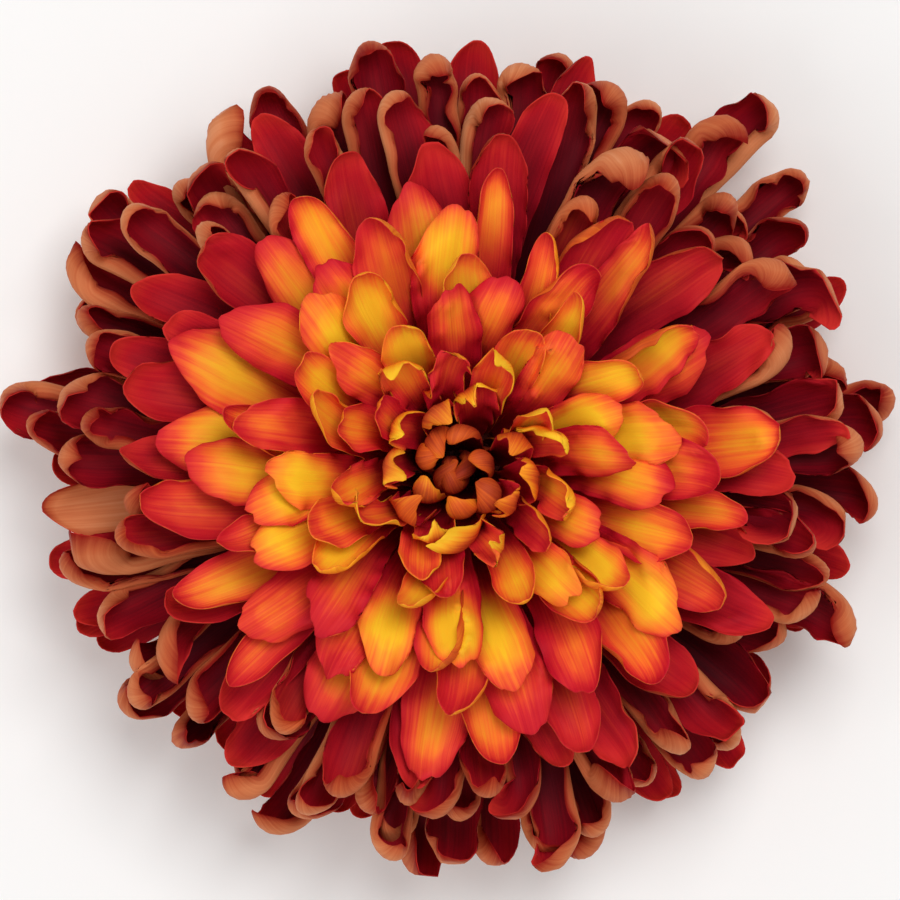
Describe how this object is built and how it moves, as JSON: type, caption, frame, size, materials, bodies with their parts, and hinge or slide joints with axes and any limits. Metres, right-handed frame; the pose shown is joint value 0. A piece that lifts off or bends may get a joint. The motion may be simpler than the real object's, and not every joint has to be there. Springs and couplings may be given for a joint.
{
  "type": "chrysanthemum bloom",
  "caption": "Double chrysanthemum bloom picked with a short stub of stem; it rests face up on its drooping outer florets.",
  "frame": {"origin": "on the surface that the bloom rests on, under the middle of its outline", "axes": "+Z up, out of the bloom's face; +Y is upward in a picture of the face taken from straight above, +X is to its right"},
  "size_m": [0.1106, 0.1038, 0.0478],
  "materials": {
    "crimson_floret": "satin petal, dark crimson inside with a tan bronze reverse",
    "orange_floret": "satin petal, golden orange with fine lengthwise veins and a red base",
    "gold_floret": "satin petal, red inside with a golden reverse",
    "bract": "matt green leaf with paler papery edges",
    "stem": "matt ribbed green stem with a pale moist cut end"
  },
  "bodies": {
    "root": {"stem_stub": "stem", "receptacle": "stem", "involucre": "bract", "guard_floret_01": "crimson_floret", "guard_floret_02": "crimson_floret", "guard_floret_03": "crimson_floret", "guard_floret_04": "crimson_floret", "guard_floret_05": "crimson_floret", "guard_floret_06": "crimson_floret", "guard_floret_07": "crimson_floret", "guard_floret_08": "crimson_floret", "guard_floret_09": "crimson_floret", "guard_floret_10": "crimson_floret", "guard_floret_11": "crimson_floret", "guard_floret_12": "crimson_floret", "guard_floret_13": "crimson_floret", "guard_floret_14": "crimson_floret", "guard_floret_15": "crimson_floret", "guard_floret_16": "crimson_floret", "guard_floret_17": "crimson_floret", "guard_floret_18": "crimson_floret", "guard_floret_19": "crimson_floret", "guard_floret_20": "crimson_floret", "guard_floret_21": "crimson_floret", "guard_floret_22": "crimson_floret", "second_floret_01": "crimson_floret", "second_floret_02": "crimson_floret", "second_floret_03": "crimson_floret", "second_floret_04": "crimson_floret", "second_floret_05": "crimson_floret", "second_floret_06": "crimson_floret", "second_floret_07": "crimson_floret", "second_floret_08": "crimson_floret", "second_floret_09": "crimson_floret", "second_floret_10": "crimson_floret", "second_floret_11": "crimson_floret", "second_floret_12": "crimson_floret", "second_floret_13": "crimson_floret", "second_floret_14": "crimson_floret", "second_floret_15": "crimson_floret", "second_floret_16": "crimson_floret", "second_floret_17": "crimson_floret", "second_floret_18": "crimson_floret", "second_floret_19": "crimson_floret", "second_floret_20": "crimson_floret", "second_floret_21": "crimson_floret", "second_floret_22": "crimson_floret", "floret_row_03": "crimson_floret", "floret_row_04": "crimson_floret", "floret_row_05": "crimson_floret", "floret_row_06": "crimson_floret", "floret_row_07": "crimson_floret", "floret_row_08": "orange_floret", "floret_row_09": "orange_floret", "floret_row_10": "orange_floret", "floret_row_11": "orange_floret", "floret_row_12": "orange_floret", "floret_row_13": "gold_floret", "floret_row_14": "gold_floret", "floret_row_15": "gold_floret"}
  },
  "joints": []
}
